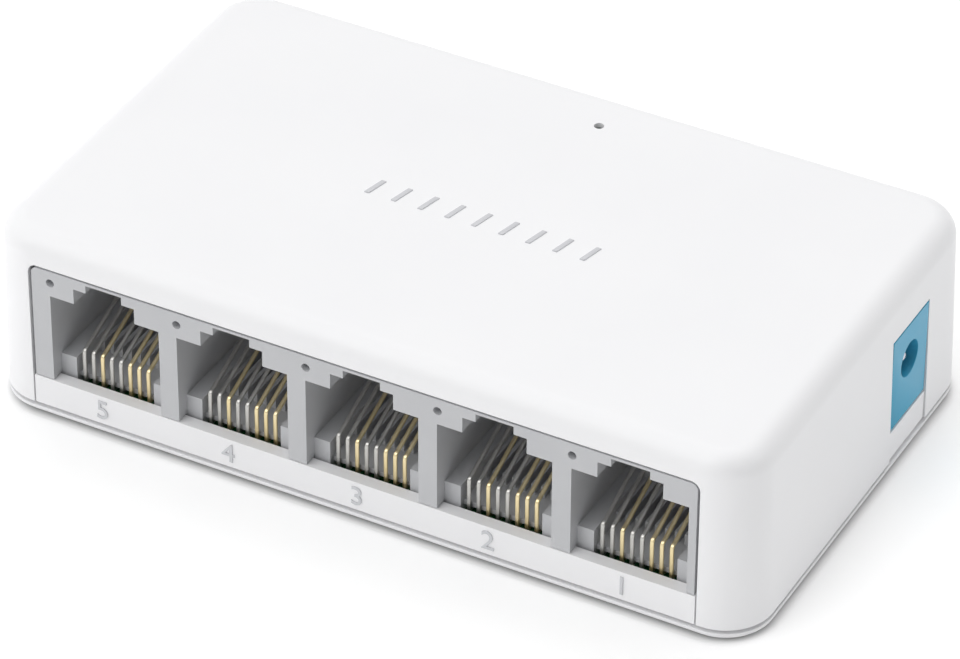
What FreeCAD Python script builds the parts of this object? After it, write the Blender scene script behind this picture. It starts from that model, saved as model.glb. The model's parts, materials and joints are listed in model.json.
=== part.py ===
import FreeCAD, Part
import math
import os
import re

import Sketcher
from FreeCAD import Placement, Rotation, Vector

# Five-port desktop network switch, in millimetres.
# +Z is up, the ports face -Y, and the origin is the middle of the base.
# Every driving dimension is a cell of the "Sizes" sheet.

PORTS = 5
WIRES = 8
SIDES = (-1, 1)
NEAR = 0.05  # closer than any two levels of the case

SIZES = {
    # outer case: flat front, the other three walls lean in as they rise
    "case_width": 82.0,
    "case_depth": 49.0,
    "case_height": 20.8,
    "lean_angle": 1.25,
    "corner_radius": 5.0,
    "top_radius": 2.4,
    "wall": 1.6,
    "roof": 1.8,
    "seam_height": 1.4,
    "rim_height": 0.95,
    "rim_inset": 0.05,
    "rim_chamfer": 0.6,
    "neck_inset": 1.2,
    "vent_pitch": 4.0,
    "vent_width": 1.6,
    "vent_start": 1.0,
    "vent_length": 13.0,
    "lip_width": 1.0,
    "lip_height": 1.0,
    "gap": 0.15,
    "spare": 1.0,
    # opening in the front wall and the strip of the base that closes its foot
    "opening_width": 71.3,
    "opening_offset": -0.15,
    "opening_top": 17.83,
    "opening_radius": 1.0,
    "strip_top": 4.69,
    "strip_thick": 1.4,
    "strip_root": 1.9,
    "strip_root_top": 2.2,
    # row of five jacks
    "port_pitch": 13.97,
    "port_offset": 0.46,
    "port_width": 12.0,
    "port_floor": 7.0,
    "port_top": 14.66,
    "port_deep": 13.0,
    "latch_width": 6.7,
    "latch_top": 16.37,
    "key_width": 3.95,
    "key_top": 17.25,
    "row_recess": 0.1,
    "row_gap": 0.3,
    "housing_deep": 18.0,
    "housing_top": 17.53,
    "sill_recess": 1.6,
    "dimple_offset": 5.95,
    "dimple_height": 16.18,
    "dimple_radius": 0.45,
    "dimple_deep": 2.2,
    "peg_radius": 1.55,
    "peg_inset": 2.2,
    "peg_place": 15.0,
    # contacts
    "wire_pitch": 1.02,
    "wire_width": 0.42,
    "wire_thick": 0.3,
    "comb_width": 8.6,
    "comb_deep": 12.0,
    "comb_floor": 5.0,
    "rib_width": 0.4,
    "rib_front": 6.0,
    "rib_foot": 4.7,
    "rib_top": 6.2,
    "run_height": 4.05,
    "leg_top": 7.45,
    "bend_height": 7.75,
    "arm_length": 9.6,
    "arm_angle": 22.0,
    "tail_place": 11.0,
    "tail_bottom": 1.9,
    # circuit board
    "board_bottom": 2.5,
    "board_thick": 1.2,
    "board_width": 75.0,
    "board_front": 2.1,
    "board_back": 21.6,
    "wire_hole": 0.4,
    "post_radius": 2.0,
    "post_place_wide": 33.6,
    "post_place_front": -19.3,
    "post_place_middle": 3.0,
    # power socket on the right-hand wall
    "socket_middle": 10.15,
    "socket_width": 7.9,
    "socket_top": 15.3,
    "socket_foot": 4.8,
    "socket_deep": 13.5,
    "socket_inset": 0.1,
    "socket_lean": 0.2,
    "socket_bore": 1.9,
    "bore_deep": 9.5,
    "bore_height": 11.1,
    "pin_radius": 0.65,
    "root_radius": 1.2,
    "root_length": 3.0,
    "root_start": 1.0,
    "pin_inset": 0.5,
    "spring_width": 1.2,
    "spring_thick": 0.25,
    "spring_inset": 1.9,
    "spring_tail": 0.7,
    "slot_inset": 1.2,
    "slot_spare": 0.25,
    "slot_deep": 2.0,
    "terminal_front": 7.0,
    "terminal_rear": 2.0,
    "terminal_thick": 0.5,
    "terminal_width": 2.0,
    # case screws
    "screw_place_wide": 31.0,
    "screw_place_back": 17.5,
    "screw_radius": 1.1,
    "head_radius": 2.1,
    "head_thick": 1.1,
    "screw_length": 9.0,
    "recess_long": 2.9,
    "recess_wide": 0.5,
    "recess_deep": 0.45,
    "boss_radius": 2.5,
    # indicator
    "light_across": 3.3,
    "light_back": 18.1,
    "light_radius": 0.45,
    "pipe_radius": 1.2,
    "pipe_foot": 0.8,
    # packages on the board
    "lead_width": 0.25,
    "lead_long": 1.0,
    "lead_tall": 0.8,
    "chip_lead_pitch": 0.55,
    "magnetics_lead_pitch": 1.27,
    "can_radius": 2.5,
    "can_tall": 7.0,
    "can_across": 20.0,
    "input_back": 3.0,
    "output_back": 16.0,
    "resistor_wide": 1.0,
    "resistor_deep": 0.5,
    "resistor_tall": 0.35,
    "ceramic_wide": 1.6,
    "ceramic_deep": 0.8,
    "ceramic_tall": 0.8,
}

PACKAGE_SIZES = ("across", "back", "wide", "deep", "tall", "lift")
PACKAGES = {
    "switch_chip": (-14.0, 9.0, 10.0, 10.0, 1.4, 0.1),
    "magnetics_left": (-26.5, -1.0, 15.2, 6.6, 3.2, 0.1),
    "magnetics_right": (7.0, -1.0, 15.2, 6.6, 3.2, 0.1),
    "crystal": (-14.0, 18.6, 11.0, 4.6, 3.5, 0.0),
    "power_inductor": (13.0, 12.0, 5.8, 5.8, 2.8, 0.0),
    "regulator": (13.0, 6.0, 3.0, 1.7, 1.1, 0.1),
    "power_led": (3.3, 18.1, 1.6, 0.8, 0.6, 0.0),
}
for package, sizes in PACKAGES.items():
    for size_name, size in zip(PACKAGE_SIZES, sizes):
        SIZES[f"{package}_{size_name}"] = size

doc = FreeCAD.newDocument("desktop_switch")
sheet = doc.addObject("Spreadsheet::Sheet", "Sizes")
for row, (alias, size) in enumerate(SIZES.items(), start=1):
    sheet.set(f"A{row}", alias)
    sheet.set(f"B{row}", str(size))
    sheet.setAlias(f"B{row}", alias)
doc.recompute()

nodes = []


def on_sheet(text):
    """A formula in sheet aliases, as an expression that names the sheet."""
    return re.sub(r"[a-z][a-z_]+", lambda word: "Sizes." + word.group(), str(text))


def bind(thing, **formulas):
    """Tie properties to formulas; a dot in a property is written as two underscores."""
    for name, text in formulas.items():
        thing.setExpression(name.replace("__", "."), on_sheet(text))
    return thing


def keep(thing, label):
    """Name an object as a finished piece of the switch."""
    thing.Label = label
    nodes.append(thing)
    return thing


def block(x, y, z, name="block"):
    """Block between (low, high) formulas on each axis."""
    return bind(
        doc.addObject("Part::Box", name),
        Length=f"({x[1]}) - ({x[0]})",
        Width=f"({y[1]}) - ({y[0]})",
        Height=f"({z[1]}) - ({z[0]})",
        Placement__Base__x=x[0],
        Placement__Base__y=y[0],
        Placement__Base__z=z[0],
    )


def around(middle, width):
    """(low, high) formulas of a width about a middle."""
    return f"({middle}) - ({width}) / 2", f"({middle}) + ({width}) / 2"


TURNS = {"x": Rotation(Vector(0, 1, 0), 90), "y": Rotation(Vector(1, 0, 0), -90), "z": Rotation()}


def rod(x, y, z, radius, length, along="z", name="rod"):
    """Cylinder from a point, towards +X, +Y or +Z."""
    cylinder = doc.addObject("Part::Cylinder", name)
    cylinder.Placement = Placement(Vector(), TURNS[along])
    return bind(
        cylinder,
        Radius=radius,
        Height=length,
        Placement__Base__x=x,
        Placement__Base__y=y,
        Placement__Base__z=z,
    )


def fuse(*things):
    union = doc.addObject("Part::MultiFuse", "fuse")
    union.Shapes = list(things)
    union.Refine = True
    return union


def group(*things):
    together = doc.addObject("Part::Compound", "group")
    together.Links = list(things)
    return together


def cut(base, *tools):
    difference = doc.addObject("Part::Cut", "cut")
    difference.Base = base
    difference.Tool = tools[0] if len(tools) == 1 else fuse(*tools)
    return difference


def plane_of(body, role):
    return next(feature for feature in body.Origin.OriginFeatures if feature.Role == role)


def polygon(body, plane, points, level=None):
    """Closed sketch whose corners are tied to (u, v) formulas."""
    sketch = body.newObject("Sketcher::SketchObject", "sketch")
    sketch.AttachmentSupport = [(plane_of(body, plane), "")]
    sketch.MapMode = "FlatFace"
    if level is not None:
        bind(sketch, AttachmentOffset__Base__z=level)
    total = len(points)
    ring = [
        Vector(math.cos(2 * math.pi * turn / total), math.sin(2 * math.pi * turn / total), 0)
        for turn in range(total)
    ]
    for number in range(total):
        sketch.addGeometry(Part.LineSegment(ring[number], ring[(number + 1) % total]))
    for number, (across, up) in enumerate(points):
        sketch.addConstraint(
            Sketcher.Constraint("Coincident", number, 2, (number + 1) % total, 1)
        )
        for kind, text in (("DistanceX", across), ("DistanceY", up)):
            place = sketch.addConstraint(Sketcher.Constraint(kind, -1, 1, number, 1, 1.0))
            sketch.setExpression(f"Constraints[{place}]", on_sheet(text))
    return sketch


def edges_where(shape, test):
    return [f"Edge{number}" for number, edge in enumerate(shape.Edges, start=1) if test(edge)]


def round_edges(body, base, radius, test):
    doc.recompute()
    fillet = body.newObject("PartDesign::Fillet", "fillet")
    fillet.Base = (base, edges_where(base.Shape, test))
    return bind(fillet, Radius=radius)


def upright(edge):
    box = edge.BoundBox
    return box.ZLength > max(box.XLength, box.YLength)


def plan_pad(body, inset, low, high):
    """Upright pad of the case's plan, drawn in by an inset."""
    half_wide = f"(case_width / 2 - ({inset}))"
    half_deep = f"(case_depth / 2 - ({inset}))"
    corners = [
        (half_wide, half_deep),
        ("-" + half_wide, half_deep),
        ("-" + half_wide, "-" + half_deep),
        (half_wide, "-" + half_deep),
    ]
    pad = body.newObject("PartDesign::Pad", "pad")
    pad.Profile = polygon(body, "XY_Plane", corners, low)
    bind(pad, Length=f"({high}) - ({low})")
    doc.recompute()
    return pad


def flat_block(name, inset, low, high, chamfer=None):
    """Plate of the case's plan, with rounded corners and an optional chamfer round its foot."""
    body = doc.addObject("PartDesign::Body", name)
    pad = plan_pad(body, inset, low, high)
    sides = round_edges(body, pad, f"corner_radius - ({inset})", upright)
    if chamfer:
        doc.recompute()
        floor = min(point.Z for point in sides.Shape.Vertexes)
        rim = body.newObject("PartDesign::Chamfer", "rim")
        rim.Base = (sides, edges_where(sides.Shape, lambda edge: edge.BoundBox.ZMax < floor + NEAR))
        bind(rim, Size=chamfer)
    return body


def leaning_block(name, inset, low, high, corner, crown):
    """Case-shaped block: flat front, sides and back leaning in, rounded corners and top."""
    body = doc.addObject("PartDesign::Body", name)
    pad = plan_pad(body, inset, low, high)
    front_y = pad.Shape.BoundBox.YMin + NEAR
    leaning = body.newObject("PartDesign::Draft", "lean")
    leaning.Base = (pad, [
        f"Face{number}"
        for number, face in enumerate(pad.Shape.Faces, start=1)
        if face.BoundBox.ZLength > NEAR and face.CenterOfMass.y > front_y
    ])
    leaning.NeutralPlane = (plane_of(body, "XY_Plane"), [""])
    bind(leaning, Angle="lean_angle")
    sides = round_edges(body, leaning, corner, upright)
    doc.recompute()
    summit = max(point.Z for point in sides.Shape.Vertexes)
    round_edges(body, sides, crown, lambda edge: edge.BoundBox.ZMin > summit - NEAR)
    return body


def port_middle(port):
    """Port 1 is the right-hand one, seen from the front."""
    return f"port_offset + {(PORTS + 1) // 2 - port} * port_pitch"


FRONT = "-case_depth / 2"
BEFORE = "-case_depth / 2 - spare"  # clear of the front, for tools that cut through it
BOARD_TOP = "board_bottom + board_thick"
OPENING = around("opening_offset", "opening_width")


# --- case ---------------------------------------------------------------------------------


def arched_block(name, inset, start, length, top):
    """Block of the front opening's outline: square at its foot, with round upper corners."""
    body = doc.addObject("PartDesign::Body", name)
    low, high = OPENING
    left, right = f"({low}) + ({inset})", f"({high}) - ({inset})"
    corners = [(right, top), (left, top), (left, "0"), (right, "0")]
    pad = body.newObject("PartDesign::Pad", "pad")
    pad.Profile = polygon(body, "XZ_Plane", corners, f"-({start})")
    pad.Reversed = True
    bind(pad, Length=length)
    doc.recompute()
    summit = max(point.Z for point in pad.Shape.Vertexes)

    def upper_corner(edge):
        box = edge.BoundBox
        return box.ZMin > summit - NEAR and box.YLength > box.XLength

    round_edges(body, pad, f"opening_radius - ({inset})", upper_corner)
    return body


POST_PLACES = ("post_place_front", "post_place_middle")
VENTS = range(-4, 5)


def screw_points():
    return [(f"{side} * screw_place_wide", "screw_place_back") for side in SIDES]


def make_top_shell():
    outside = leaning_block(
        "outside", "0", "seam_height", "case_height", "corner_radius", "top_radius"
    )
    inside = leaning_block(
        "inside", "wall", "0", "case_height - roof", "corner_radius - wall", "top_radius - wall"
    )
    socket_window = block(
        ("case_width / 2 - 2 * wall", "case_width / 2 + spare"),
        around("socket_middle", "socket_width + 2 * gap"),
        ("0", "socket_top + gap"),
    )
    light_hole = rod(
        "light_across", "light_back", "case_height - 2 * roof", "light_radius + gap / 3", "3 * roof"
    )
    opening = arched_block("front_opening", "0", BEFORE, "wall + 2 * spare", "opening_top")
    shell = cut(outside, inside, opening, socket_window, light_hole)
    bosses = [
        rod(x, y, f"{BOARD_TOP} + gap", "boss_radius",
            f"case_height - roof / 2 - ({BOARD_TOP} + gap)")
        for x, y in screw_points()
    ]
    bores = [
        rod(x, y, "0", "screw_radius + gap / 3", "head_thick + screw_length + spare")
        for x, y in screw_points()
    ]
    keep(cut(fuse(shell, *bosses), *bores), "top_shell")


def make_bottom_cover():
    rim = flat_block("rim", "rim_inset", "0", "rim_height", "rim_chamfer")
    neck = flat_block("neck", "neck_inset", "rim_height / 2", "seam_height")
    lip_top = "seam_height + lip_height"
    above_lip = lip_top + " + spare"
    lip = cut(
        leaning_block("lip_outside", "wall + gap", "seam_height / 2", lip_top,
                      "corner_radius - wall - gap", "gap"),
        leaning_block("lip_inside", "wall + gap + lip_width", "0", above_lip,
                      "corner_radius - wall - gap - lip_width", "gap"),
        block((f"{OPENING[0]} - spare", f"{OPENING[1]} + spare"), (FRONT, f"{FRONT} + 4 * wall"),
              ("0", above_lip)),
        block(("case_width / 2 - 4 * wall", "case_width / 2"),
              around("socket_middle", "socket_width + 4 * gap"), ("0", above_lip)),
    )
    strip_across = (f"{OPENING[0]} + gap", f"{OPENING[1]} - gap")
    strip = block(strip_across, (FRONT, f"{FRONT} + strip_thick"), ("seam_height", "strip_top"))
    strip_root = block(
        strip_across, (f"{FRONT} + neck_inset", f"{FRONT} + strip_root"),
        ("seam_height / 2", "strip_root_top"),
    )
    socket_tab = block(
        ("case_width / 2 - 1.5 * wall", "case_width / 2 - socket_lean"),
        around("socket_middle", "socket_width"),
        ("seam_height", "socket_foot - gap"),
    )
    posts = [
        rod(f"{side} * post_place_wide", place, "seam_height / 2", "post_radius",
            "board_bottom - seam_height / 2")
        for side in SIDES
        for place in POST_PLACES
    ]
    wells = [
        rod(x, y, "seam_height / 2", "boss_radius", "board_bottom - seam_height / 2")
        for x, y in screw_points()
    ]
    bores = [
        rod(x, y, "-spare", "screw_radius + gap", "board_bottom + 2 * spare")
        for x, y in screw_points()
    ]
    heads = [
        rod(x, y, "-spare", "head_radius + gap", "head_thick + gap + spare")
        for x, y in screw_points()
    ]
    vents = [
        block(around(f"{slot} * vent_pitch", "vent_width"),
              ("vent_start", "vent_start + vent_length"), ("-spare", "seam_height + spare"))
        for slot in VENTS
    ]
    cover = fuse(rim, neck, lip, strip, strip_root, socket_tab, *posts, *wells)
    keep(cut(cover, *bores, *heads, *vents), "bottom_cover")


def make_case_screws():
    screws = []
    for x, y in screw_points():
        head = rod(x, y, "gap", "head_radius", "head_thick")
        shank = rod(x, y, "gap", "screw_radius", "head_thick + screw_length")
        recess = ("0", "gap + recess_deep")
        slot = block(around(x, "recess_long"), around(y, "recess_wide"), recess)
        cross = block(around(x, "recess_wide"), around(y, "recess_long"), recess)
        screws.append(cut(fuse(head, shank), slot, cross))
    keep(group(*screws), "case_screws")


# --- jack row -----------------------------------------------------------------------------


def port_cutters(port):
    middle = port_middle(port)
    back = f"{FRONT} + port_deep"
    sill = f"{FRONT} + sill_recess"
    wire_slot = f"{sill} + wire_thick + 2 * gap"
    above_floor = "port_floor + spare"
    return [
        block(around(middle, "port_width"), (BEFORE, back), ("port_floor", "port_top")),
        block(around(middle, "port_width"), (BEFORE, sill), ("0", above_floor)),
        block(around(middle, "latch_width"), (BEFORE, back), ("port_floor", "latch_top")),
        block(around(middle, "key_width"), (BEFORE, back), ("port_floor", "key_top")),
        block(around(middle, "comb_width"), (BEFORE, f"{FRONT} + comb_deep"),
              ("comb_floor", above_floor)),
        block(around(middle, "comb_width"), (BEFORE, wire_slot), ("0", above_floor)),
        block(around(middle, "comb_width"), (BEFORE, f"{FRONT} + tail_place + spare"),
              ("0", "run_height + wire_thick + gap")),
        rod(f"({middle}) - dimple_offset", BEFORE, "dimple_height", "dimple_radius",
            "spare + dimple_deep", along="y"),
    ]


def port_ribs(port):
    """Comb of low ribs between the eight wires of a port, behind their bends."""
    along = (f"{FRONT} + rib_front", f"{FRONT} + comb_deep + gap")
    return [
        block(around(f"({port_middle(port)}) + {rib - WIRES / 2} * wire_pitch", "rib_width"),
              along, ("rib_foot", "rib_top"))
        for rib in range(WIRES + 1)
    ]


def peg_points():
    return [
        (f"port_offset + {side} * ({PORTS} / 2 * port_pitch - peg_inset)", f"{FRONT} + peg_place")
        for side in SIDES
    ]


def make_jack_housing():
    solid = arched_block(
        "row", "row_gap", f"{FRONT} + row_recess", "housing_deep - row_recess", "housing_top"
    )
    across = (f"{OPENING[0]} - spare", f"{OPENING[1]} + spare")
    under = block(across, (BEFORE, f"{FRONT} + housing_deep + spare"), ("-spare", BOARD_TOP))
    foot = block(across, (BEFORE, f"{FRONT} + sill_recess"), ("0", "strip_top + gap / 2"))
    cutters = [cutter for port in range(1, PORTS + 1) for cutter in port_cutters(port)]
    ribs = [rib for port in range(1, PORTS + 1) for rib in port_ribs(port)]
    pegs = [
        rod(x, y, "board_bottom - 4 * gap", "peg_radius", "board_thick + 2 * spare")
        for x, y in peg_points()
    ]
    row = cut(solid, under, foot, *cutters)
    keep(fuse(row, *ribs, *pegs), "jack_housing")


def row_of_wires(body, profile):
    """Pad a wire's side outline and repeat it eight times along X."""
    body.AllowCompound = True
    pad = body.newObject("PartDesign::Pad", "pad")
    pad.Profile = profile
    pad.Midplane = True
    bind(pad, Length="wire_width")
    doc.recompute()
    row = body.newObject("PartDesign::LinearPattern", "row")
    row.Originals = [pad]
    row.Direction = (plane_of(body, "X_Axis"), [""])
    row.Occurrences = WIRES
    bind(row, Length=f"{WIRES - 1} * wire_pitch")
    body.Tip = row
    return body


def make_contacts(port):
    """Eight wires of a port: fixed legs, and the springy arms that rise from their bends."""
    start = f"{-(WIRES - 1) / 2} * wire_pitch"
    leg_front = f"{FRONT} + sill_recess + gap"
    tail = f"{FRONT} + tail_place"
    legs = doc.addObject("PartDesign::Body", f"legs_{port}")
    outline = [
        (leg_front, "leg_top"),
        (leg_front, "run_height"),
        (tail, "run_height"),
        (tail, "tail_bottom"),
        (f"{tail} + wire_thick", "tail_bottom"),
        (f"{tail} + wire_thick", "run_height + wire_thick"),
        (f"{leg_front} + wire_thick", "run_height + wire_thick"),
        (f"{leg_front} + wire_thick", "leg_top"),
    ]
    row_of_wires(legs, polygon(legs, "YZ_Plane", outline, start))
    bind(legs, Placement__Base__x=port_middle(port))
    keep(legs, f"contact_legs_port_{port}")

    arms = doc.addObject("PartDesign::Body", f"arms_{port}")
    half = "wire_thick / 2"
    flat = [("0", half), ("0", "-" + half), ("arm_length", "-" + half), ("arm_length", half)]
    row_of_wires(arms, polygon(arms, "YZ_Plane", flat, start))
    arms.Placement = Placement(Vector(), Rotation(Vector(1, 0, 0), SIZES["arm_angle"]))
    bind(
        arms,
        Placement__Rotation__Angle="arm_angle",
        Placement__Base__x=port_middle(port),
        Placement__Base__y=f"{leg_front} + wire_thick / 2",
        Placement__Base__z="bend_height",
    )
    keep(arms, f"contact_springs_port_{port}")


# --- circuit board and what is soldered to it ------------------------------------------------


def make_board():
    solid = block(
        around("0", "board_width"),
        (f"{FRONT} + board_front", "board_back"),
        ("board_bottom", BOARD_TOP),
    )
    through = "board_bottom + board_thick + spare"
    holes = [
        rod(f"({port_middle(port)}) + {wire - (WIRES - 1) / 2} * wire_pitch",
            f"{FRONT} + tail_place + wire_thick / 2", "0", "wire_hole", through)
        for port in range(1, PORTS + 1)
        for wire in range(WIRES)
    ]
    holes += [rod(x, y, "0", "peg_radius + gap", through) for x, y in peg_points()]
    holes += [rod(x, y, "0", "screw_radius + 2 * gap", through) for x, y in screw_points()]
    holes += [terminal_block(place, "gap") for place in TERMINAL_PLACES]
    keep(cut(solid, *holes), "circuit_board")


def on_board(across, back, wide, deep, tall, lift="0"):
    """Block that stands on the board, or above it by a lift."""
    foot = f"{BOARD_TOP} + {lift}"
    return block(around(across, wide), around(back, deep), (foot, f"{foot} + {tall}"))


def make_package(name):
    keep(on_board(*(f"{name}_{size_name}" for size_name in PACKAGE_SIZES)), name)


def side_leads(name, count, pitch, turned=False):
    """Flat leads along the two opposite sides of a package."""
    run, out = ("back", "across") if turned else ("across", "back")
    reach = "wide" if turned else "deep"
    leads = []
    for number in range(count):
        for side in SIDES:
            place = {
                run: f"{name}_{run} + {number - (count - 1) / 2} * {pitch}",
                out: f"{name}_{out} + {side} * ({name}_{reach} + lead_long) / 2",
            }
            size = ("lead_long", "lead_width") if turned else ("lead_width", "lead_long")
            leads.append(on_board(place["across"], place["back"], *size, "lead_tall"))
    return leads


CHIP_LEADS = 16
MAGNETICS_LEADS = 10
RESISTOR_PLACES = (
    (-32.0, 11.0), (-29.0, 11.0), (-26.0, 11.0), (-23.0, 11.0), (-3.0, 19.5), (-0.6, 19.5),
)
CERAMIC_PLACES = (
    (-32.0, 14.0), (-29.0, 14.0), (-26.0, 14.0), (-23.0, 14.0),
    (-4.0, 10.0), (-1.0, 10.0), (2.0, 10.0), (5.0, 10.0),
)


def make_electronics():
    for name in PACKAGES:
        make_package(name)
    leads = side_leads("switch_chip", CHIP_LEADS, "chip_lead_pitch")
    leads += side_leads("switch_chip", CHIP_LEADS, "chip_lead_pitch", turned=True)
    keep(group(*leads), "switch_chip_leads")
    leads = [
        lead
        for name in ("magnetics_left", "magnetics_right")
        for lead in side_leads(name, MAGNETICS_LEADS, "magnetics_lead_pitch")
    ]
    keep(group(*leads), "magnetics_leads")
    for name, back in (("capacitor_input", "input_back"), ("capacitor_output", "output_back")):
        keep(rod("can_across", back, BOARD_TOP, "can_radius", "can_tall"), name)
    resistor = ("resistor_wide", "resistor_deep", "resistor_tall")
    keep(group(*(on_board(*place, *resistor) for place in RESISTOR_PLACES)), "chip_resistors")
    ceramic = ("ceramic_wide", "ceramic_deep", "ceramic_tall")
    keep(group(*(on_board(*place, *ceramic) for place in CERAMIC_PLACES)), "chip_capacitors")


def make_light_pipe():
    foot = f"({BOARD_TOP} + pipe_foot)"
    stem = rod("light_across", "light_back", foot, "pipe_radius",
               f"case_height - roof - {foot} - gap")
    tip = rod("light_across", "light_back", foot, "light_radius",
              f"case_height - {foot} - 2 * gap")
    keep(fuse(stem, tip), "light_pipe")


# --- power socket ---------------------------------------------------------------------------


FACE = "(case_width / 2 - socket_lean - socket_inset)"
REAR = f"{FACE} - socket_deep"
BORE_END = f"{FACE} - bore_deep"
TERMINAL_PLACES = ("terminal_rear", "terminal_front")


def terminal_block(place, spare):
    """One flat tail of the power socket, or with some spare round it, its slot in the board."""
    return block(
        (f"{REAR} + {place} - {spare}", f"{REAR} + {place} + terminal_thick + {spare}"),
        around("socket_middle", f"terminal_width + 2 * {spare}"),
        ("tail_bottom", BOARD_TOP),
    )


def make_power_socket():
    across = around("socket_middle", "socket_width")
    upper = block((REAR, FACE), across, ("socket_foot", "socket_top"))
    lower = block(
        (REAR, "case_width / 2 - 2 * wall"), across, (BOARD_TOP, "socket_foot + spare")
    )
    bore = rod(BORE_END, "socket_middle", "bore_height", "socket_bore", "bore_deep + spare", "x")
    spring_slot = block(
        (f"{BORE_END} - spare", f"{FACE} - slot_inset"),
        around("socket_middle", "spring_width + 2 * slot_spare"),
        ("bore_height - socket_bore - slot_deep", "bore_height"),
    )
    root_hole = rod(
        f"{REAR} - spare", "socket_middle", "bore_height", "root_radius", "socket_deep", "x"
    )
    keep(cut(fuse(upper, lower), bore, spring_slot, root_hole), "power_socket_body")
    pin = rod(f"{BORE_END} - spare", "socket_middle", "bore_height", "pin_radius",
              "bore_deep - pin_inset + spare", "x")
    root = rod(f"{REAR} + root_start", "socket_middle", "bore_height", "root_radius",
               "root_length", "x")
    keep(fuse(pin, root), "power_socket_pin")
    spring_foot = "bore_height - socket_bore - spring_thick / 2"
    keep(
        block(
            (f"{BORE_END} - spring_tail", f"{FACE} - spring_inset"),
            around("socket_middle", "spring_width"),
            (spring_foot, f"{spring_foot} + spring_thick"),
        ),
        "power_socket_spring",
    )
    keep(group(*(terminal_block(place, "0") for place in TERMINAL_PLACES)),
         "power_socket_terminals")


make_top_shell()
make_bottom_cover()
make_case_screws()
make_jack_housing()
for port_number in range(1, PORTS + 1):
    make_contacts(port_number)
make_board()
make_electronics()
make_light_pipe()
make_power_socket()
doc.recompute()

for thing in doc.Objects:
    if "Invalid" in thing.State or "Error" in thing.State:
        raise RuntimeError(f"{thing.Label} did not recompute: {thing.State}")
for node in nodes:
    if node.Shape.isNull() or not node.Shape.isValid():
        raise RuntimeError(f"{node.Label} has no valid shape")

os.makedirs("parts", exist_ok=True)
for node in nodes:
    node.Shape.exportStep(f"parts/{node.Label}.step")
    print(f"{node.Label}: {len(node.Shape.Solids)} solids, {node.Shape.Volume:.2f} mm3")
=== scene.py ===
import json
import math

import bmesh
import bpy
from mathutils import Matrix, Vector


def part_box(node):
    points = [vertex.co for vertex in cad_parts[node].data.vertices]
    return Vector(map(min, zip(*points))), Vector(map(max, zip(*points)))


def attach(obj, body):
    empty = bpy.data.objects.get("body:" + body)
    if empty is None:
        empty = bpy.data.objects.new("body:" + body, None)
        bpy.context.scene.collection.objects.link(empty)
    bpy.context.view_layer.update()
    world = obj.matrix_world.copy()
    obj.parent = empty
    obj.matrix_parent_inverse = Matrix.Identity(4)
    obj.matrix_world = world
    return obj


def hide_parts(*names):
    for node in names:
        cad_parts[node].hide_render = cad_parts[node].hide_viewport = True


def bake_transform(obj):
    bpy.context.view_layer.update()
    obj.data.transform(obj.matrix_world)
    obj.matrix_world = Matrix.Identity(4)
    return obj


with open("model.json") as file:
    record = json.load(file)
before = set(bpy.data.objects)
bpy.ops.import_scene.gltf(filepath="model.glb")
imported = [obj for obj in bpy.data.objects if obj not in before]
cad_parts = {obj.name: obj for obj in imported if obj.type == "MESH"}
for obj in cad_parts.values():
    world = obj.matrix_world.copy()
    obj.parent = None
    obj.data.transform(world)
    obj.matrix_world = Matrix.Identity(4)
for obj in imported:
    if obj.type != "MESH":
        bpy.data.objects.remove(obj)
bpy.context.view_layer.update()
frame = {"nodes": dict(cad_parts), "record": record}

MM = 0.001
PORTS = 5
WIRES = 8
SMOOTH_LIMIT = math.radians(28)
SHELL_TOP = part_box("top_shell")[1].z
BASE_LOW, BASE_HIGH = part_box("bottom_cover")
FRONT = BASE_LOW.y


# --- finishes ---------------------------------------------------------------------------------


def linear(hex_code):
    """Linear colour, with alpha, of an sRGB hex code."""
    parts = [int(hex_code[place : place + 2], 16) / 255 for place in (1, 3, 5)]
    parts = [part / 12.92 if part <= 0.04045 else ((part + 0.055) / 1.055) ** 2.4 for part in parts]
    return (*parts, 1.0)


def add(tree, kind, links=None, **settings):
    """Adds a node; links gives its inputs, either a socket to join or a value to set."""
    node = tree.nodes.new(kind)
    for name, setting in settings.items():
        setattr(node, name, setting)
    for name, source in (links or {}).items():
        if isinstance(source, bpy.types.NodeSocket):
            tree.links.new(source, node.inputs[name])
        else:
            node.inputs[name].default_value = source
    return node


def finish_of(name, light, dark, roughness, grain, relief, patch, **fixed):
    """A surface whose colour and gloss drift over patches, with a fine relief.

    grain and patch are sizes in millimetres, relief a depth in millimetres, and roughness
    the two ends of its range. What is in fixed goes straight on the shader's sockets.
    """
    material = bpy.data.materials.new(name)
    material.use_nodes = True
    tree = material.node_tree
    tree.nodes.clear()
    place = add(tree, "ShaderNodeTexCoord").outputs["Object"]
    drift = add(
        tree, "ShaderNodeTexNoise",
        {"Vector": place, "Scale": 1 / (patch * MM), "Detail": 3.0, "Roughness": 0.55},
    ).outputs["Fac"]
    fine = add(
        tree, "ShaderNodeTexNoise",
        {"Vector": place, "Scale": 1 / (grain * MM), "Detail": 2.0, "Roughness": 0.6},
    ).outputs["Fac"]
    blend = add(
        tree, "ShaderNodeMix", {"Factor": drift, "A": linear(dark), "B": linear(light)},
        data_type="RGBA",
    )
    gloss = add(
        tree, "ShaderNodeMapRange",
        {"Value": drift, "From Min": 0.3, "From Max": 0.7,
         "To Min": roughness[0], "To Max": roughness[1]},
    )
    bump = add(tree, "ShaderNodeBump", {"Height": fine, "Distance": relief * MM, "Strength": 1.0})
    shader = add(
        tree, "ShaderNodeBsdfPrincipled",
        {"Base Color": blend.outputs["Result"], "Roughness": gloss.outputs["Result"],
         "Normal": bump.outputs["Normal"], **fixed},
    )
    add(tree, "ShaderNodeOutputMaterial", {"Surface": shader.outputs["BSDF"]})
    return material


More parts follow.
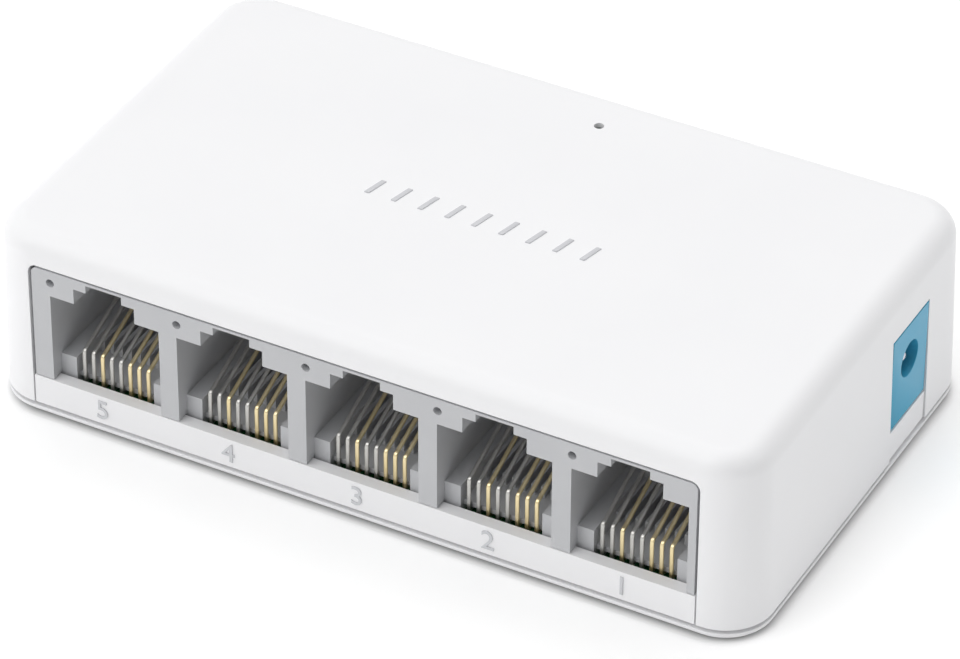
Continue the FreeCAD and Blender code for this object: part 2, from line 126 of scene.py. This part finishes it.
# Spark-eroded white ABS: an even, faintly bluish white with a soft sheen and a very fine grain.
WHITE_ABS = finish_of(
    "white_abs_moulded", "#F5F5F6", "#F1F1F3", roughness=(0.34, 0.42),
    grain=0.35, relief=0.004, patch=18.0,
    **{"Subsurface Weight": 0.06, "Subsurface Radius": (0.6 * MM, 0.6 * MM, 0.6 * MM)},
)
# Polished faces of the raised figures: the same white, glossier than the eroded wall around them,
# and painted a shade greyer as painted shade on the figures.
WHITE_ABS_FIGURE_SHADE = finish_of(
    "white_abs_figures_painted_shade", "#D2D3D6", "#CACBCF", roughness=(0.16, 0.24),
    grain=0.4, relief=0.001, patch=6.0,
)
# Smooth grey PBT of the jack row: cool light grey, slightly glossy from a polished mould.
GREY_PBT = finish_of(
    "grey_pbt_moulded", "#C6C7C9", "#BDBEC1", roughness=(0.34, 0.44),
    grain=0.25, relief=0.003, patch=5.0,
)
# Sky-blue PBT of the power socket: smooth and a little waxy.
BLUE_PBT = finish_of(
    "blue_pbt_moulded", "#45AACD", "#389FC3", roughness=(0.32, 0.42),
    grain=0.3, relief=0.003, patch=4.0,
)
# Gold flash over nickel on phosphor bronze: warm pale gold, bright along the drawn wire.
GOLD_PLATE = finish_of(
    "gold_plated_bronze_wire", "#F6E9C6", "#EAD49A", roughness=(0.28, 0.4),
    grain=0.12, relief=0.002, patch=1.5,
    Metallic=1.0,
)
# A grey, soft copy of the gold wire finish, as painted shade: it stands for gold wires that reflect
# the dark inside of the port.
SHADED_GREY_WIRE = finish_of(
    "wire_grey_painted_reflection", "#D5D4D0", "#BFBEB9", roughness=(0.3, 0.44),
    grain=0.12, relief=0.002, patch=1.5,
    Metallic=1.0,
)
# Nickel plate: neutral bright metal with faint turning marks.
NICKEL = finish_of(
    "nickel_plated_brass", "#D8DADD", "#C4C7CC", roughness=(0.16, 0.26),
    grain=0.1, relief=0.001, patch=2.0,
    Metallic=1.0,
)
# Zinc-plated steel: bluish grey, slightly cloudy.
ZINC = finish_of(
    "zinc_plated_steel", "#B9BEC4", "#A3A9B1", roughness=(0.28, 0.42),
    grain=0.2, relief=0.003, patch=2.0,
    Metallic=1.0,
)
# Tinned copper: soft silver, dull where the solder has wetted it.
TIN = finish_of(
    "tinned_copper", "#C9CACB", "#ABADB0", roughness=(0.3, 0.5),
    grain=0.15, relief=0.004, patch=1.0,
    Metallic=1.0,
)
# Drawn metal can of the crystal: satin silver.
CAN = finish_of(
    "drawn_metal_can", "#CFD0D2", "#BDBFC2", roughness=(0.22, 0.34),
    grain=0.3, relief=0.002, patch=3.0,
    Metallic=1.0,
)
# Solder mask over glass cloth: dark green, glossy, with a faint weave relief.
MASK = finish_of(
    "green_solder_mask", "#1F6B3B", "#17572F", roughness=(0.22, 0.34),
    grain=0.5, relief=0.006, patch=3.0,
)
# Transfer-moulded epoxy of the chips: charcoal and matt.
EPOXY = finish_of(
    "black_epoxy_moulded", "#2B2C2E", "#232426", roughness=(0.55, 0.7),
    grain=0.12, relief=0.006, patch=2.0,
)
# Shrunk PVC sleeve of the capacitors: near black and glossy.
SLEEVE = finish_of(
    "pvc_sleeve_shrunk", "#20242E", "#191C25", roughness=(0.2, 0.32),
    grain=0.6, relief=0.004, patch=3.0,
)
# Fired ceramic of the chip capacitors: tan and matt.
CERAMIC = finish_of(
    "ceramic_fired", "#B39468", "#9F8157", roughness=(0.5, 0.65),
    grain=0.1, relief=0.005, patch=1.0,
)
# Clear acrylic in a dark hole, painted smoky grey as the hole's shade, with a sharp highlight.
ACRYLIC_PAINTED_DARK = finish_of(
    "clear_acrylic_painted_shade", "#5B615F", "#484E4C", roughness=(0.06, 0.12),
    grain=0.5, relief=0.001, patch=1.0,
)
# Clear epoxy of the LED: pale green and glossy.
LENS = finish_of(
    "epoxy_lens_cast", "#BFD9B0", "#A9C79B", roughness=(0.1, 0.2),
    grain=0.3, relief=0.001, patch=1.0,
)

SLOT_FINISHES = {
    "white_abs": WHITE_ABS,
    "grey_pbt": GREY_PBT,
    "blue_pbt": BLUE_PBT,
    "gold_contacts": GOLD_PLATE,
    "steel": ZINC,
    "bright_pin": NICKEL,
    "tinned_leads": TIN,
    "board": MASK,
    "chip_black": EPOXY,
    "can_metal": CAN,
    "capacitor_sleeve": SLEEVE,
    "ceramic": CERAMIC,
    "clear_plastic": ACRYLIC_PAINTED_DARK,
    "led_lens": LENS,
}
NODE_SLOTS = {row["node"]: row["material_slot"] for row in frame["record"]["subparts"]}


def paint(piece, slot):
    """Gives a piece the finish of a slot of the record."""
    piece.data.materials.clear()
    piece.data.materials.append(SLOT_FINISHES[slot])


def finish_cad_nodes():
    for name, node in frame["nodes"].items():
        paint(node, NODE_SLOTS[name])


# --- making pieces ----------------------------------------------------------------------------

SAME_POINT = 0.0005 * MM
SAME_TURNED_POINT = 0.001 * MM
FLAT_LIMIT = math.radians(0.4)


def settle(piece):
    """Applies a piece's modifiers, so that its mesh is final."""
    graph = bpy.context.evaluated_depsgraph_get()
    mesh = bpy.data.meshes.new_from_object(piece.evaluated_get(graph))
    piece.modifiers.clear()
    piece.data = mesh
    return piece


def make_piece(name, mesh, slot, body, *nodes, settled=True, finish=None):
    """Turns a bmesh or a mesh into a piece that rides on a body and stands for CAD nodes.

    It takes the finish of its slot, unless it is given one of its own.
    """
    if isinstance(mesh, bmesh.types.BMesh):
        filled = bpy.data.meshes.new(name)
        mesh.to_mesh(filled)
        mesh.free()
        mesh = filled
    piece = bpy.data.objects.new(name, mesh)
    bpy.context.scene.collection.objects.link(piece)
    paint(piece, slot)
    if finish:
        piece.data.materials[0] = finish
    if settled:
        dress(piece, slot, body, *nodes)
    return piece


def dress(piece, slot, body, *nodes):
    """Smooths the curved faces of a piece, ties it to its body and hides the CAD nodes it stands
    for; slot is not used.
    """
    piece.data.shade_smooth()
    piece.data.set_sharp_from_angle(angle=SMOOTH_LIMIT)
    if body:
        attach(piece, body)
    if nodes:
        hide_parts(*nodes)


def refined(node, name, width, angle=30.0):
    """A copy of a CAD node with its flat faces made whole and its sharp edges rounded.

    width is that of the rounding in millimetres, and angle the least turn in degrees that
    counts as sharp.
    """
    mesh = bmesh.new()
    mesh.from_mesh(frame["nodes"][node].data)
    bmesh.ops.remove_doubles(mesh, verts=mesh.verts, dist=SAME_POINT)
    bmesh.ops.dissolve_limit(mesh, angle_limit=FLAT_LIMIT, verts=mesh.verts, edges=mesh.edges)
    slot = NODE_SLOTS[node]
    piece = make_piece(name, mesh, slot, "housing", node, settled=False)
    edge = piece.modifiers.new("edges", "BEVEL")
    edge.width = width * MM
    edge.segments = 2
    edge.profile = 0.5
    edge.limit_method = "ANGLE"
    edge.angle_limit = math.radians(angle)
    edge.use_clamp_overlap = True
    normal = piece.modifiers.new("flat_faces", "WEIGHTED_NORMAL")
    normal.keep_sharp = True
    piece.data.shade_smooth()
    settle(piece)
    dress(piece, slot, "housing", node)
    return piece


def lathe(outline, middle, axis, steps=32):
    """Bmesh of an outline of (distance along the axis, radius) turned about a line."""
    mesh = bmesh.new()
    side = axis.orthogonal().normalized()
    points = [mesh.verts.new(middle + axis * along + side * radius) for along, radius in outline]
    edges = [mesh.edges.new(pair) for pair in zip(points, points[1:])]
    bmesh.ops.spin(
        mesh, geom=points + edges, cent=middle, axis=axis, angle=2 * math.pi,
        steps=steps, use_merge=True,
    )
    bmesh.ops.remove_doubles(mesh, verts=mesh.verts, dist=SAME_TURNED_POINT)
    bmesh.ops.recalc_face_normals(mesh, faces=mesh.faces)
    return mesh


def swept(points, thick, wide):
    """Mesh of a flat wire with round edges, wide along X, that follows (y, z) points."""
    curve = bpy.data.curves.new("wire", "CURVE")
    curve.dimensions = "3D"
    curve.bevel_depth = thick / 2
    curve.extrude = (wide - thick) / 2
    curve.bevel_resolution = 2
    curve.use_fill_caps = True
    line = curve.splines.new("NURBS")
    line.points.add(len(points) - 1)
    for point, place in zip(line.points, points):
        point.co = (0, *place, 1.0)
        point.tilt = math.radians(90)
    line.use_endpoint_u = True
    line.order_u = 3
    line.resolution_u = 4
    holder = bpy.data.objects.new("wire", curve)
    bpy.context.scene.collection.objects.link(holder)
    graph = bpy.context.evaluated_depsgraph_get()
    mesh = bpy.data.meshes.new_from_object(holder.evaluated_get(graph))
    bpy.data.objects.remove(holder)
    return mesh


# --- the case ---------------------------------------------------------------------------------

DIGIT_TALL = 2.1 * MM
DIGIT_SHARE = 0.7  # of the size of a line of text
DIGIT_RELIEF = 0.1 * MM
DIGIT_EDGE = 0.03 * MM
DIGIT_SPREAD = -0.02 * MM
DIGIT_SHIFT = -0.55 * MM
DIGIT_LEVEL = 3.0 * MM


def port_middle(port):
    """Middle of a port's contacts; port 1 is on the right."""
    low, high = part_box(f"contact_legs_port_{port}")
    return (low.x + high.x) / 2


def make_port_digit(port):
    """Raised digit on the strip below a port."""
    text = bpy.data.curves.new("digit", "FONT")
    text.body = str(port)
    text.size = DIGIT_TALL / DIGIT_SHARE
    text.align_x = "CENTER"
    text.align_y = "CENTER"
    text.extrude = DIGIT_RELIEF
    text.bevel_depth = DIGIT_EDGE
    text.offset = DIGIT_SPREAD
    holder = bpy.data.objects.new("digit", text)
    bpy.context.scene.collection.objects.link(holder)
    graph = bpy.context.evaluated_depsgraph_get()
    mesh = bpy.data.meshes.new_from_object(holder.evaluated_get(graph))
    bpy.data.objects.remove(holder)
    spot = Vector((port_middle(port) + DIGIT_SHIFT, FRONT, DIGIT_LEVEL))
    mesh.transform(Matrix.Translation(spot) @ Matrix.Rotation(math.radians(90), 4, "X"))
    # The digit is painted a shade greyer than the strip: painted shade on the raised figure.
    make_piece(
        f"port_digit_{port}", mesh, "white_abs", "housing", finish=WHITE_ABS_FIGURE_SHADE
    )


MARK_BARS = 9
MARK_PITCH = 2.9 * MM
MARK_TALL = 2.5 * MM
MARK_WIDE = 0.55 * MM
MARK_RELIEF = 0.12 * MM
MARK_SLANT = 0.6 * MM
MARK_EDGE = 0.08 * MM
MARK_PLACE = Vector((0.8 * MM, -1.4 * MM, SHELL_TOP))


def make_top_mark():
    """Row of small slanted bars moulded on the top, with no meaning."""
    mesh = bmesh.new()
    for number in range(MARK_BARS):
        made = bmesh.ops.create_cube(mesh, size=1.0)["verts"]
        bmesh.ops.scale(mesh, vec=(MARK_WIDE, MARK_TALL, 2 * MARK_RELIEF), verts=made)
        for vert in made:
            vert.co.x += math.copysign(MARK_SLANT / 2, vert.co.y)
        shift = Vector(((number - (MARK_BARS - 1) / 2) * MARK_PITCH, 0, 0))
        bmesh.ops.translate(mesh, vec=MARK_PLACE + shift, verts=made)
    bmesh.ops.bevel(
        mesh, geom=mesh.edges[:], offset=MARK_EDGE, affect="EDGES", segments=2, profile=0.5,
        material=-1,
    )
    # The bars are painted a shade greyer than the top: painted shade on the raised figures.
    make_piece("top_mark", mesh, "white_abs", "housing", finish=WHITE_ABS_FIGURE_SHADE)


def make_case():
    refined("top_shell", "shell_moulding", width=0.12, angle=40.0)
    refined("bottom_cover", "base_moulding", width=0.12)
    refined("case_screws", "screws_turned", width=0.08)
    for port in range(1, PORTS + 1):
        make_port_digit(port)
    make_top_mark()


# --- the jacks --------------------------------------------------------------------------------

WIRE_THICK = 0.28 * MM
WIRE_WIDE = 0.44 * MM
WIRE_PITCH = 1.02 * MM
WIRE_INSET = 0.15 * MM  # from the faces of the CAD wires to their middle line
WIRE_RUN = 2.3 * MM  # height of the flat run above the tails' ends
WIRE_TAIL = 1.0 * MM
WIRE_CORNER = 0.7 * MM
BELOW_BEND = 0.2 * MM
PAST_BEND = (0.1 * MM, 0.15 * MM)
ARM_STEPS = (WIRE_CORNER, 3.0 * MM, 6.0 * MM)
TIP_INSET = (0.1 * MM, 0.2 * MM)
TIP_STRAIGHT = 0.8 * MM
TIP_CURL = (0.05 * MM, -0.25 * MM)
# Wires are counted from the left, seen from the front.
# Wires 1, 2, 4 and 5 take the grey copy as painted shade and reflection; 3, 6, 7 and 8 show the
# gold.
WIRE_KINDS = (("shade_painted", (1, 2, 4, 5), SHADED_GREY_WIRE), ("gilt", (3, 6, 7, 8), GOLD_PLATE))


def wire_path(port):
    """The (y, z) points of a wire, from its tail in the board to its free end, and its bend."""
    legs_low, legs_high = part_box(f"contact_legs_port_{port}")
    arms_low, arms_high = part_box(f"contact_springs_port_{port}")
    leg = legs_low.y + WIRE_INSET
    tail = legs_high.y - WIRE_INSET
    foot = legs_low.z
    run = foot + WIRE_RUN
    bend = arms_low.z + WIRE_INSET
    tip = Vector((arms_high.y, arms_high.z)) - Vector(TIP_INSET)
    rise = (tip[1] - bend) / (tip[0] - leg)
    in_board = [(tail, foot), (tail, foot + WIRE_TAIL), (tail, run - WIRE_CORNER)]
    under_port = [
        (tail, run), (tail - WIRE_CORNER, run), ((tail + leg) / 2, run),
        (leg + WIRE_CORNER, run), (leg, run),
    ]
    up_front = [
        (leg, run + WIRE_CORNER), (leg, (run + bend) / 2), (leg, bend - WIRE_CORNER),
        (leg, bend - BELOW_BEND),
    ]
    arm = [(leg + PAST_BEND[0], bend + PAST_BEND[1])]
    arm += [(leg + along, bend + rise * along) for along in ARM_STEPS]
    free_end = [
        (tip[0] - TIP_STRAIGHT, tip[1] - rise * TIP_STRAIGHT), tuple(tip),
        (tip[0] + TIP_CURL[0], tip[1] + TIP_CURL[1]),
    ]
    return in_board + under_port + up_front + arm + free_end, bend


def make_port_wires(port):
    """Eight bent wires of a port: gilt ones, and grey ones painted as shade."""
    path, bend = wire_path(port)
    one = swept(path, WIRE_THICK, WIRE_WIDE)
    for kind, wires, finish in WIRE_KINDS:
        mesh = bmesh.new()
        for wire in wires:
            shift = port_middle(port) + (wire - (WIRES + 1) / 2) * WIRE_PITCH
            copy = one.copy()
            copy.transform(Matrix.Translation((shift, 0, 0)))
            mesh.from_mesh(copy)
            bpy.data.meshes.remove(copy)
        piece = make_piece(
            f"{kind}_wires_port_{port}", mesh, "gold_contacts", None,
            f"contact_legs_port_{port}", f"contact_springs_port_{port}", finish=finish,
        )
        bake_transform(piece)


def make_jacks():
    refined("jack_housing", "jack_row_moulding", width=0.09)
    for port in range(1, PORTS + 1):
        make_port_wires(port)


# --- power socket and indicator ---------------------------------------------------------------

PIN_RADIUS = 0.65 * MM
NOSE_LONG = 0.6 * MM
NOSE_FLAT = 0.2  # radius of the pin's flat end, as a share of the pin's
NOSE_TURNS = [math.radians(18 * step) for step in range(1, 6)]
COLLAR_LONG = 3.0 * MM
COLLAR_EDGE = 0.1 * MM
PIPE_RADIUS = 0.45 * MM
PIPE_DOME = 0.25 * MM
PIPE_SHOULDER = 0.1 * MM
SHOULDER_DEPTH = 2.0 * MM
DOME_TURNS = [math.radians(22.5 * step) for step in range(1, 4)]


def make_power_socket():
    refined("power_socket_body", "power_socket_moulding", width=0.12)
    low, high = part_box("power_socket_pin")
    middle = Vector((low.x, (low.y + high.y) / 2, (low.z + high.z) / 2))
    collar = (high.z - low.z) / 2
    length = high.x - low.x
    outline = [
        (0, 0), (0, collar - COLLAR_EDGE), (COLLAR_EDGE, collar), (COLLAR_LONG, collar),
        (COLLAR_LONG, PIN_RADIUS), (length - NOSE_LONG, PIN_RADIUS),
    ]
    outline += [
        (length - NOSE_LONG * (1 - math.sin(turn)),
         PIN_RADIUS * (NOSE_FLAT + (1 - NOSE_FLAT) * math.cos(turn)))
        for turn in NOSE_TURNS
    ]
    outline.append((length, 0))
    make_piece(
        "power_pin_turned", lathe(outline, middle, Vector((1, 0, 0))), "bright_pin", "housing",
        "power_socket_pin",
    )


def make_indicator():
    low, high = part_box("light_pipe")
    middle = Vector(((low.x + high.x) / 2, (low.y + high.y) / 2, low.z))
    stem = (high.x - low.x) / 2
    length = high.z - low.z
    shoulder = SHELL_TOP - SHOULDER_DEPTH - low.z
    outline = [
        (0, 0), (0, stem), (shoulder, stem), (shoulder + PIPE_SHOULDER, PIPE_RADIUS),
        (length - PIPE_DOME, PIPE_RADIUS),
    ]
    outline += [
        (length - PIPE_DOME + PIPE_DOME * math.sin(turn), PIPE_RADIUS * math.cos(turn))
        for turn in DOME_TURNS
    ]
    outline.append((length, 0))
    make_piece(
        "light_pipe_moulding", lathe(outline, middle, Vector((0, 0, 1))), "clear_plastic",
        "housing", "light_pipe",
    )


# --- room -------------------------------------------------------------------------------------

CAMERA_PLACE = Vector((199.2, -374.9, 320.1)) * MM
CAMERA_AZIMUTH = math.radians(28.142)
CAMERA_ELEVATION = math.radians(36.424)
CAMERA_ROLL = math.radians(0.238)
CAMERA_LENS = 204.3
CAMERA_SHIFT = (0.0117, -0.0011)


def make_camera():
    lens = bpy.data.cameras.new("camera")
    lens.lens = CAMERA_LENS
    lens.sensor_width = 36.0
    lens.shift_x, lens.shift_y = CAMERA_SHIFT
    camera = bpy.data.objects.new("camera", lens)
    bpy.context.scene.collection.objects.link(camera)
    turn = Matrix.Rotation(CAMERA_AZIMUTH, 4, "Z")
    tilt = Matrix.Rotation(math.radians(90) - CAMERA_ELEVATION, 4, "X")
    roll = Matrix.Rotation(CAMERA_ROLL, 4, "Z")
    camera.matrix_world = Matrix.Translation(CAMERA_PLACE) @ turn @ tilt @ roll
    bpy.context.scene.camera = camera


FLOOR_HALF = 3.0
FLOOR_GLOW = 0.15
FOOT_CORNER = 5.6 * MM
SHADE_START = -0.6 * MM
SHADE_END = 1.0 * MM
SHADE_DEPTH = 0.45


def shade_round_foot(material):
    """Deepens the narrow shadow on a floor where the case stands."""
    tree = material.node_tree
    shader = next(node for node in tree.nodes if node.type == "BSDF_PRINCIPLED")
    colour = shader.inputs["Base Color"].links[0].from_socket
    inner = (BASE_HIGH.x - FOOT_CORNER, BASE_HIGH.y - FOOT_CORNER, 0)
    place = add(tree, "ShaderNodeTexCoord").outputs["Object"]
    mirrored = add(tree, "ShaderNodeVectorMath", {0: place}, operation="ABSOLUTE")
    past = add(
        tree, "ShaderNodeVectorMath", {0: mirrored.outputs["Vector"], 1: inner},
        operation="SUBTRACT",
    )
    outside = add(
        tree, "ShaderNodeVectorMath", {0: past.outputs["Vector"], 1: (0, 0, 0)},
        operation="MAXIMUM",
    )
    away = add(
        tree, "ShaderNodeVectorMath", {0: outside.outputs["Vector"]}, operation="LENGTH"
    )
    shade = add(
        tree, "ShaderNodeMapRange",
        {"Value": away.outputs["Value"], "From Min": FOOT_CORNER + SHADE_START,
         "From Max": FOOT_CORNER + SHADE_END, "To Min": SHADE_DEPTH, "To Max": 1.0},
        interpolation_type="SMOOTHSTEP",
    ).outputs["Result"]
    darker = add(tree, "ShaderNodeVectorMath", {0: colour, "Scale": shade}, operation="SCALE")
    tree.links.new(darker.outputs["Vector"], shader.inputs["Base Color"])
    tree.links.new(shade, shader.inputs["Emission Color"])


def make_floor():
    mesh = bmesh.new()
    bmesh.ops.create_grid(mesh, x_segments=1, y_segments=1, size=FLOOR_HALF)
    flat = bpy.data.meshes.new("floor")
    mesh.to_mesh(flat)
    mesh.free()
    floor = bpy.data.objects.new("floor", flat)
    bpy.context.scene.collection.objects.link(floor)
    # Matt white paper: an even, faintly mottled white.
    paper = finish_of(
        "white_paper_matt", "#FDFDFD", "#FBFBFB", roughness=(0.8, 0.9),
        grain=1.0, relief=0.01, patch=60.0, **{"Emission Strength": FLOOR_GLOW},
    )
    shade_round_foot(paper)
    floor.data.materials.append(paper)


LAMP_SIZE = 1.0
LAMPS = (("key", (-0.35, -0.6, 0.9), 3.9), ("top", (0.0, 0.3, 1.0), 2.9))


def make_lamp(name, place, power):
    """Round soft lamp that points at the middle of the base."""
    light = bpy.data.lights.new(name, "AREA")
    light.shape = "DISK"
    light.size = LAMP_SIZE
    light.energy = power
    lamp = bpy.data.objects.new(name, light)
    bpy.context.scene.collection.objects.link(lamp)
    lamp.location = place
    lamp.rotation_mode = "QUATERNION"
    lamp.rotation_quaternion = (-Vector(place)).to_track_quat("-Z", "Y")


SKY_STRENGTH = 0.68
DARK_SIDE = Vector((0.8, -0.6, 0.08)).normalized()


def make_light():
    world = bpy.data.worlds.new("studio")
    bpy.context.scene.world = world
    world.use_nodes = True
    tree = world.node_tree
    tree.nodes.clear()
    # The studio is a little darker low down in front of the right-hand corner.
    direction = add(tree, "ShaderNodeTexCoord").outputs["Generated"]
    toward = add(
        tree, "ShaderNodeVectorMath", {0: direction, 1: DARK_SIDE}, operation="DOT_PRODUCT"
    )
    strength = add(
        tree, "ShaderNodeMapRange",
        {"Value": toward.outputs["Value"], "From Min": 0.5, "From Max": 1.0,
         "To Min": SKY_STRENGTH, "To Max": 0.0},
        interpolation_type="SMOOTHSTEP",
    )
    sky = add(
        tree, "ShaderNodeBackground",
        {"Color": (1.0, 1.0, 1.0, 1.0), "Strength": strength.outputs["Result"]},
    )
    add(tree, "ShaderNodeOutputWorld", {"Surface": sky.outputs["Background"]})
    for lamp in LAMPS:
        make_lamp(*lamp)
    bpy.context.scene.view_settings.view_transform = "Standard"


finish_cad_nodes()
make_case()
make_jacks()
make_power_socket()
make_indicator()
make_floor()
make_camera()
make_light()
